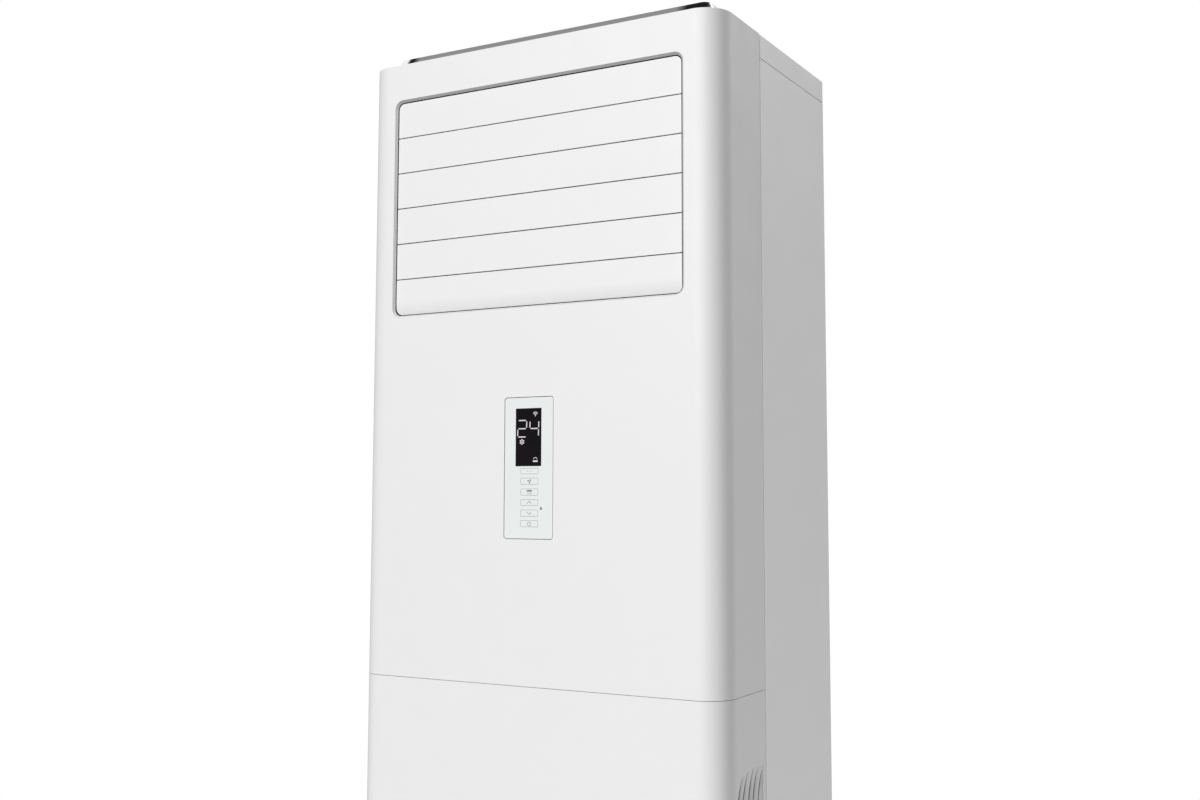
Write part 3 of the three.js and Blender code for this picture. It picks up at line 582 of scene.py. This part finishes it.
def louvres():
    h = (L_PITCH - 1.2) / 2
    for k in range(1, 7):
        z = louvre_z(k)
        if k == 6:
            front = [(-9.0, h), (-9.0, -5)]
            for i in range(1, 15):
                t = i / 14
                front.append((-9.0 + 1.9 * t ** 2.1, -5 - (h - 5) * t))
            front.append((-4.2, -h))
        else:
            front = [(-9.0, h), (-9.0, -h), (-6.4, -h)]
        blade = front + [(-4.4, -10), (-4.0, 0), (-4.6, 12), (-6.4, h)]
        s = prism("louvre_blade_%d" % k, [(L_PIN_Y + a, z + b) for a, b in blade], "x", -L_X, L_X)
        if k in (1, 6):
            boolean(s, [prism("c", round_rect(-L_X, L_X, L_TOP - 6 * L_PITCH + 0.6, L_TOP - 0.6, 8, 12), "y", YF, YF + 20)], "INTERSECT")
        ear = [(-6.6, -9)] + arc(0, 0, 4.6, -90, 90, 14) + [(-6.6, 9)]
        ear = [(L_PIN_Y + a, z + b) for a, b in ear]
        parts = [s, prism("p", ear, "x", -L_X, -L_X + 2.5), prism("p", ear, "x", L_X - 2.5, L_X),
                 prism("p", capsule(L_PIN_Y, z, L_PIN_Y + CRANK, z + CRANK, 3.8), "x", -L_X + 0.05, -L_X + 2.45),
                 rod("p", "x", 2.0, -205.4, -L_X + 1, L_PIN_Y + CRANK, z + CRANK, 20),
                 rod("p", "x", 2.5, -212, -L_X + 1, L_PIN_Y, z, 24),
                 rod("p", "x", 2.5, L_X - 1, 218 if k == 1 else 212, L_PIN_Y, z, 24)]
        settle(merge("louvre_blade_%d" % k, parts), "louvre_%d" % k, "louvre_white", "louvre_%d" % k, width=0.35, seg=2)


def duct():
    X, T = DUCT_X, 3
    s = block("outlet_duct", -X - T, X + T, DUCT_Y0, DUCT_Y1, DUCT_Z0 - T, DUCT_Z1 + T)
    boolean(s, [block("u", -X - 8, X + 8, DUCT_Y0, DUCT_Y0 + 2.5, DUCT_Z0 - 10, DUCT_Z1 + 10)], "UNION")
    cuts = [block("c", -X, X, DUCT_Y0 - 5, DUCT_Y1 + 5, DUCT_Z0, DUCT_Z1)]
    cuts += [rod("c", "x", 3.0, -X - 6, X + 6, L_PIN_Y, louvre_z(k), 20) for k in range(1, 7)]
    cuts += [rod("c", "z", 3.0, DUCT_Z0 - 6, DUCT_Z1 + 6, 50 * (k - 4.5), V_Y, 20) for k in range(1, 9)]
    boolean(s, cuts)
    settle(s, "cabinet", "inner_plastic", "air_outlet_duct", width=0.3, seg=2)


def vanes():
    for k in range(1, 9):
        x = 50 * (k - 4.5)
        # aerofoil section, thin at both edges, within the flat blade's thickness
        top = [(1.0 * math.sin(math.pi * (0.12 + 0.76 * t)) ** 0.6, V_Y - 14 + 34 * t) for t in [i / 14 for i in range(15)]]
        pts = [(x + a, y) for a, y in top] + [(x - a, y) for a, y in reversed(top)]
        s = prism("vane_blade_%d" % k, pts, "z", DUCT_Z0 + 3, DUCT_Z1 - 3)
        boolean(s, [block("c", x - 5, x + 5, V_Y + 9.5, V_Y + 25, V_Z - 6, V_Z + 6)])
        parts = [s, rod("p", "z", 1.5, V_Z - 7, V_Z + 7, x, V_Y + 16, 20), rod("p", "z", 2.5, DUCT_Z0 - 6, DUCT_Z0 + 6, x, V_Y, 24),
                 rod("p", "z", 2.5, DUCT_Z1 - 6, DUCT_Z1 + (11.5 if k == 8 else 6), x, V_Y, 24)]
        settle(merge("vane_blade_%d" % k, parts), "vane_%d" % k, "inner_plastic", "vane_%d" % k, width=0.2, seg=2)


# -------------------------------------------------------------------- display
PY = YF + 0.3


def flat(name, polys, mat, y=PY, h=0.05):
    """thin printed shapes on the plate, each an (x, z) outline"""
    parts = [prism("p", p, "y", y - h, y + 0.02) for p in polys]
    o = merge(name, parts)
    for p in o.data.polygons:
        p.use_smooth = False
    o.data.materials.append(mat)
    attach(o, "cabinet")
    return o


def stroke(pts, w, closed=False):
    """quads along a line with mitred corners, as separate (x, z) outlines"""
    n = len(pts)
    left, right = [], []
    for i in range(n):
        a = pts[(i - 1) % n] if (closed or i > 0) else pts[i]
        b = pts[(i + 1) % n] if (closed or i < n - 1) else pts[i]
        d1 = Vector((pts[i][0] - a[0], pts[i][1] - a[1]))
        d2 = Vector((b[0] - pts[i][0], b[1] - pts[i][1]))
        d1 = d1.normalized() if d1.length > 1e-9 else d2.normalized()
        d2 = d2.normalized() if d2.length > 1e-9 else d1
        nn = Vector((-(d1.y + d2.y), d1.x + d2.x))
        nn = nn.normalized() if nn.length > 1e-9 else Vector((-d1.y, d1.x))
        c = max(0.4, nn.dot(Vector((-d1.y, d1.x))))
        o = nn * (w / 2 / c)
        left.append((pts[i][0] + o.x, pts[i][1] + o.y))
        right.append((pts[i][0] - o.x, pts[i][1] - o.y))
    return [[left[i], left[(i + 1) % n], right[(i + 1) % n], right[i]] for i in range(n if closed else n - 1)]


def seg_digit(x0, x1, d0, d1, on, w=1.35, slant=0.03):
    """segment figure in a box; a top, b and c right, d bottom, e and f left, g middle"""
    g, m = w * 0.62, (d0 + d1) / 2
    ends = {"a": ((x0 + g, d0), (x1 - g, d0)), "g": ((x0 + g, m), (x1 - g, m)), "d": ((x0 + g, d1), (x1 - g, d1)),
            "f": ((x0, d0 + g), (x0, m - g)), "b": ((x1, d0 + g), (x1, m - g)),
            "e": ((x0, m + g), (x0, d1 - g)), "c": ((x1, m + g), (x1, d1 - g))}
    out = []
    for s in on:
        p = [(x + slant * (m - d), TOP - d) for x, d in ends[s]]
        (ax, az), (bx, bz) = p
        t = Vector((bx - ax, bz - az)).normalized()
        q = Vector((-t.y, t.x)) * w / 2
        e = t * w * 0.38
        out.append([(ax - e.x * 0, az - e.y * 0), (ax + e.x + q.x, az + e.y + q.y), (bx - e.x + q.x, bz - e.y + q.y),
                    (bx, bz), (bx - e.x - q.x, bz - e.y - q.y), (ax + e.x - q.x, az + e.y - q.y)])
    return out


def display():
    s = prism("touch_plate", round_rect(-32.8, 34.0, 1084.3, 1249.3, 2.8, 12), "y", PY, YF + 3.9)
    boolean(s, [block("c", -17.65, 18.15, YF - 1, YF + 6, 1168.6, 1236.6)])
    settle(s, "cabinet", "display_gloss", "display_panel", width=0.2, seg=2)
    s = prism("lcd_glass", round_rect(-17.5, 18.0, 1168.75, 1236.45, 0.4, 4), "y", PY + 0.02, YF + 3.9)
    settle(s, "cabinet", "lcd_dark", "lcd_window", width=0.12, seg=2)
    dx = -0.4
    figs = seg_digit(-14.2 + dx, -2.0 + dx, 459.1, 478.5, "abged") + seg_digit(2.6 + dx, 14.8 + dx, 459.6, 478.2, "fgbc")
    flat("figures", figs, GLYPH, PY)
    ic = []
    cx, cz = 10.2 + dx, TOP - 454.0
    for r in (1.5, 3.0, 4.4):
        ic += stroke(arc(cx, cz, r, 42, 138, 8), 0.7)
    ic.append(circle(cx, cz, 0.7, 12))
    cx, cz = -8.3 + dx, TOP - 484.3
    ic += stroke(circle(cx, cz, 1.2, 18), 0.6, True)
    for i in range(6):
        t = i * 60 + 30
        ic.append(circle(cx + 2.45 * math.cos(rad(t)), cz + 2.45 * math.sin(rad(t)), 0.95, 12))
    cx, cz = 10.4 + dx, TOP - 506.0
    ic += stroke(arc(cx, cz + 0.2, 2.9, 20, 160, 10), 0.7)
    ic.append(capsule(cx - 2.6, cz - 1.1, cx + 2.6, cz - 1.1, 0.95, 6))
    flat("state_marks", ic, GLYPH, PY, 0.045)
    # touch keys: outlines and marks
    x0, x1 = -9.6 + dx, 14.4 + dx
    xm = (x0 + x1) / 2
    keys = [(515.3, 521.9), (526.8, 534.2), (539.4, 546.8), (551.7, 558.6), (563.9, 571.4), (576.2, 583.5)]
    out = []
    for a, b in keys:
        out += stroke(round_rect(x0, x1, TOP - b, TOP - a, 1.1, 5), 0.5, True)
    flat("key_outlines", out, INK_SOFT)
    ink = []
    zc = [TOP - (a + b) / 2 for a, b in keys]
    ink += [circle(xm + i * 3.1, zc[0], 0.5, 12) for i in (-1, 0, 1)]
    for i in range(3):
        t = rad(i * 120 + 40)
        c = (xm + 1.75 * math.cos(t), zc[1] + 1.75 * math.sin(t))
        pts = []
        for j in range(16):
            u = 2 * math.pi * j / 16
            a, b = 1.25 * math.cos(u), 0.78 * math.sin(u)
            pts.append((c[0] + a * math.cos(t + 0.6) - b * math.sin(t + 0.6), c[1] + a * math.sin(t + 0.6) + b * math.cos(t + 0.6)))
        ink.append(pts)
    ink.append(circle(xm, zc[1], 0.5, 12))
    ink.append([(xm - 3.5, zc[2] + 0.4), (xm + 3.5, zc[2] + 0.4), (xm + 3.5, zc[2] + 2.4), (xm - 3.5, zc[2] + 2.4)])
    for i in (-1, 0, 1):
        ink += stroke([(xm + i * 2.3 - 0.8, zc[2] - 1.2), (xm + i * 2.3, zc[2] - 2.2), (xm + i * 2.3 + 0.8, zc[2] - 1.2)], 0.45)
    ink += stroke([(xm - 2.9, zc[3] - 1.3), (xm, zc[3] + 1.5), (xm + 2.9, zc[3] - 1.3)], 0.62)
    ink += stroke([(xm - 2.9, zc[4] + 1.3), (xm, zc[4] - 1.5), (xm + 2.9, zc[4] + 1.3)], 0.62)
    ink += stroke(arc(xm, zc[5] - 0.2, 2.3, 120, 420, 22), 0.55)
    ink += stroke([(xm, zc[5] + 0.3), (xm, zc[5] + 2.8)], 0.55)
    dxm, dz = 18.6 + dx, TOP - 561.8
    ink.append(arc(dxm, dz - 0.6, 1.5, 150, 390, 12) + [(dxm, dz + 2.6)])
    flat("key_marks", ink, INK)


# ------------------------------------------------------------ inner pieces
def tube(name, points, r, sides=20, res=10):
    """smooth round tube through the points"""
    cu = bpy.data.curves.new(name, "CURVE")
    cu.dimensions = "3D"
    sp = cu.splines.new("BEZIER")
    sp.bezier_points.add(len(points) - 1)
    for b, p in zip(sp.bezier_points, points):
        b.co = Vector(p) * MM
        b.handle_left_type = b.handle_right_type = "AUTO"
    sp.resolution_u = res
    cu.bevel_depth = r * MM
    cu.bevel_resolution = sides // 4
    cu.use_fill_caps = True
    o = bpy.data.objects.new(name, cu)
    bpy.context.scene.collection.objects.link(o)
    me = bpy.data.meshes.new_from_object(o.evaluated_get(bpy.context.evaluated_depsgraph_get()))
    bpy.data.objects.remove(o)
    m = bpy.data.objects.new(name, me)
    bpy.context.scene.collection.objects.link(m)
    return m


def pipes():
    gas = [(-223, 97, 1606), (-230, 98, 1598), (-235, 100, 1570), (-236, 100, 1500), (-236, 100, 900), (-236, 100, 420),
           (-230, 102, 300), (-200, 108, 190), (-186, 122, 155), (-185, 138, 150), (-185, 156, 150)]
    liq = [(-214, 40, 1440), (-222, 44, 1432), (-234, 60, 1410), (-238, 72, 1360), (-238, 76, 900), (-238, 78, 420),
           (-228, 84, 300), (-175, 104, 200), (-157, 122, 158), (-155, 138, 150), (-155, 156, 150)]
    g = merge("gas_line", [tube("p", gas, 6.8), prism("p", circle(-185, 150, 11.8, 6), "y", 140, 154)])
    settle(g, "cabinet", "pipe_copper", "gas_pipe", width=0.3, seg=2, angle=45)
    q = merge("liquid_line", [tube("p", liq, 4.6), prism("p", circle(-155, 150, 8.8, 6), "y", 142, 154)])
    settle(q, "cabinet", "pipe_copper", "liquid_pipe", width=0.3, seg=2, angle=45)


def blower():
    parts = []
    n = 36
    for i in range(n):
        t0 = 2 * math.pi * i / n
        outer, inner = [], []
        for j in range(7):
            u = j / 6
            r = 106.4 + 18.0 * u
            a = t0 + 0.16 * (1 - u) ** 1.5
            outer.append((FAN_X + r * math.cos(a), FAN_Z + r * math.sin(a)))
            a2 = a + 1.3 / r
            inner.append((FAN_X + r * math.cos(a2), FAN_Z + r * math.sin(a2)))
        parts.append(prism("p", outer + inner[::-1], "y", -46, 53.5))
    parts.append(lathe_y("p", [(109.6, -47.9), (124.9, -47.9), (124.9, -44.1), (109.6, -44.1)], FAN_X, FAN_Z, 96))
    parts.append(lathe_y("p", [(106.1, 52.3), (124.9, 52.3), (124.9, 54.6), (106.1, 54.6)], FAN_X, FAN_Z, 96))
    settle(merge("fan_wheel", parts), "blower", "inner_plastic", "blower_wheel", width=0.25, seg=2, angle=40)
    hub = lathe_y("fan_hub", [(0, 57.4), (124.9, 57.4), (124.9, 55.1), (27, 55.1), (23, 54), (21.9, 51.5), (21.9, 20.6), (21.5, 20.2), (0, 20.2)], FAN_X, FAN_Z, 96)
    boolean(hub, [rod("c", "y", 6.4, 10, 70, FAN_X, FAN_Z, 32)])
    settle(hub, "blower", "inner_plastic", "blower_hub", width=0.3, seg=2, angle=40)
    ring = lathe_y("inlet_ring", [(103.6, -57.5), (105.2, -60.3), (108, -62.6), (111.2, -64.2), (115, -65), (115, -63), (109.4, -60), (107.9, -56.9),
                                  (136, -56.9), (136, -54.9), (106.8, -54.9), (105.4, -46), (103, -46)], FAN_X, FAN_Z, 96)
    settle(ring, "cabinet", "inner_plastic", "fan_inlet_ring", width=0.3, seg=2, angle=35)
    wall = scroll_outline(0, 75, False) + scroll_outline(2.5, 86, True)[::-1]
    back = prism("p", scroll_outline(2.5, 86, True), "y", 62, 64)
    boolean(back, [rod("c", "y", 30, 55, 70, FAN_X, FAN_Z, 64)])
    face = prism("p", scroll_outline(2.5, 86, True), "y", -54.6, -52)
    boolean(face, [rod("c", "y", 128, -60, -50, FAN_X, FAN_Z, 96)])
    settle(merge("scroll_case", [prism("p", wall, "y", -52, 62.2), back, face]), "cabinet", "inner_plastic", "fan_scroll", width=0.3, seg=2, angle=35)
    motor = lathe_y("motor_can", [(0, 59.6), (24.9, 59.6), (24.9, 66.6), (50, 66.6), (53.9, 70.5), (53.9, 90), (52.8, 91), (52.8, 93), (53.9, 94),
                                  (53.9, 124), (50.5, 127.9), (39.9, 128), (39.9, 131.4), (0, 131.4)], FAN_X, FAN_Z, 72)
    boolean(motor, [rod("c", "y", 6.5, 50, 96, FAN_X, FAN_Z, 32)])
    settle(motor, "cabinet", "motor_metal", "blower_motor", width=0.4, seg=2, angle=35)


def scroll_outline(o, a0, outer):
    out = []
    n = 60
    for i in range(n + 1):
        d = a0 + (360 - a0) * i / n
        r = 138 + (d - 75) / 285 * 72 + o
        out.append((FAN_X + r * math.cos(rad(d)), FAN_Z + r * math.sin(rad(d))))
    if outer:
        return [(FAN_X - 22.5, 640)] + out + [(FAN_X + 212.5, 640)]
    return [(FAN_X - 20, 640)] + out + [(FAN_X + 210, 640)]


def coil():
    cd, cn = (0.4529, 0.8916), (0.8916, -0.4529)

    def yz(a, b):
        return (32 + a * cd[0] + b * cn[0], 1482.5 + a * cd[1] + b * cn[1])
    parts = []
    n = 150
    fin = [yz(-175.8, -18.8), yz(175.8, -18.8), yz(175.8, 18.8), yz(-175.8, 18.8)]
    for i in range(n):
        x = -194.6 + 389.2 * i / (n - 1)
        parts.append(prism("p", fin, "x", x - 0.22, x + 0.22))
    core = [yz(-174, -14.5), yz(174, -14.5), yz(174, 14.5), yz(-174, 14.5)]
    parts.append(prism("p", core, "x", -194.2, 194.2))
    fins = merge("coil_fins", parts)
    settle(fins, "cabinet", "coil_aluminium", "evaporator_coil", smooth=False)
    bends = []
    for k in (1, -1):
        for b in (-9.5, 9.5):
            for i in range(3):
                a0 = -137 + (0 if k > 0 else 50) + i * 100
                pts = [(k * 194, *yz(a0, b))]
                for j in range(9):
                    t = j / 8 * math.pi
                    pts.append((k * (198.5 + 12.5 * math.sin(t)), *yz(a0 + 12.5 - 12.5 * math.cos(t), b)))
                pts.append((k * 194, *yz(a0 + 25, b)))
                bends.append(tube("p", pts, 4.4, 16, 4))
    settle(merge("coil_return_bends", bends), "cabinet", "pipe_copper", width=0)


def filters():
    for k, n in ((1, "right"), (-1, "left")):
        xa = 237.2 if k > 0 else -243.6
        y0, y1, z0, z1 = -122.7, -57.9, 206, 850
        fr = block("filter_frame_" + n, xa, xa + 6.4, y0, y1, z0, z1)
        step = (z1 - z0 - 12 + 4) / 6
        cuts = [prism("c", round_rect(y0 + 6, y1 - 6, z0 + 6 + i * step, z0 + 6 + i * step + step - 4, 2, 5), "x", xa - 2, xa + 9) for i in range(6)]
        boolean(fr, cuts)
        settle(fr, "filter_" + n, "filter_net", "air_filter_" + n, mat=FRAME_BLUE, width=0.3, seg=2)
        w = block("filter_net_" + n, xa + 2.9, xa + 3.5, y0 + 2, y1 - 2, z0 + 2, z1 - 2)
        settle(w, "filter_" + n, "filter_net", width=0, smooth=False)


FRAME_BLUE = surface("filter_frame_plastic", (0.13, 0.155, 0.18), 0.55, var=0.04, var_scale=20, grain=1000, strength=0.1)

upper_panel()
lower_panel()
sheets()
lid_plate()
feet()
louvres()
duct()
vanes()
display()
pipes()
blower()
coil()
filters()

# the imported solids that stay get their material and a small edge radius
SLOT_OF = {s["node"]: s["material_slot"] for s in frame["record"]["subparts"]}
for name, o in NODES.items():
    if o.hide_render:
        continue
    mat = M[SLOT_OF[name]]
    if not o.material_slots:
        o.data.materials.append(mat)
    for sl in o.material_slots:
        sl.material = mat
    b = o.modifiers.new("edge", "BEVEL")
    b.width = 0.00025
    b.segments = 2
    b.limit_method = "ANGLE"
    b.angle_limit = rad(40)

# --------------------------------------------------------------------- stage
def stage_floor():
    bm = bmesh.new()
    bmesh.ops.create_circle(bm, cap_ends=True, segments=160, radius=3.0)
    me = bpy.data.meshes.new("studio_floor")
    bm.to_mesh(me)
    bm.free()
    o = bpy.data.objects.new("studio_floor", me)
    bpy.context.scene.collection.objects.link(o)
    me.materials.append(surface("floor_pale", (0.2, 0.2, 0.2), 0.75, var=0.006, var_scale=1.5, grain=200, strength=0.02))


stage_floor()


def sun(name, az, el, strength, angle):
    """az 0 shines from the front (-Y) and 90 from the right (+X); el is the height above the horizon"""
    li = bpy.data.lights.new(name, "SUN")
    li.energy = strength
    li.angle = rad(angle)
    o = bpy.data.objects.new(name, li)
    d = Vector((math.sin(rad(az)) * math.cos(rad(el)), -math.cos(rad(az)) * math.cos(rad(el)), math.sin(rad(el))))
    o.rotation_euler = d.to_track_quat("Z", "Y").to_euler()
    bpy.context.scene.collection.objects.link(o)


sun("key_front", -6, 32, 3.27, 62)
sun("fill_rear_right", 158, 43, 3.6, 20)

world = bpy.data.worlds.new("studio")
bpy.context.scene.world = world
world.use_nodes = True
wt = world.node_tree
wt.nodes.clear()
lp = wt.nodes.new("ShaderNodeLightPath")
soft = wt.nodes.new("ShaderNodeBackground")
soft.inputs["Color"].default_value = (1, 1, 1, 1)
soft.inputs["Strength"].default_value = 0.12
seen = wt.nodes.new("ShaderNodeBackground")
seen.inputs["Color"].default_value = (1, 1, 1, 1)
seen.inputs["Strength"].default_value = 1.0
mixw = wt.nodes.new("ShaderNodeMixShader")
outw = wt.nodes.new("ShaderNodeOutputWorld")
wt.links.new(lp.outputs["Is Camera Ray"], mixw.inputs["Fac"])
wt.links.new(soft.outputs[0], mixw.inputs[1])
wt.links.new(seen.outputs[0], mixw.inputs[2])
wt.links.new(mixw.outputs[0], outw.inputs["Surface"])

bpy.context.scene.view_settings.view_transform = "Standard"

cam = bpy.data.cameras.new("camera")
cam.sensor_width = 36
cam.sensor_fit = "HORIZONTAL"
cam.lens = 39.82
cam.shift_x = -0.0255
cam.shift_y = -0.0217
cam.clip_end = 100
camo = bpy.data.objects.new("camera", cam)
camo.location = (0.8557, -1.4692, 1.1363)
camo.rotation_euler = (rad(90 + 5.163), 0, rad(28.794))
bpy.context.scene.collection.objects.link(camo)
bpy.context.scene.camera = camo
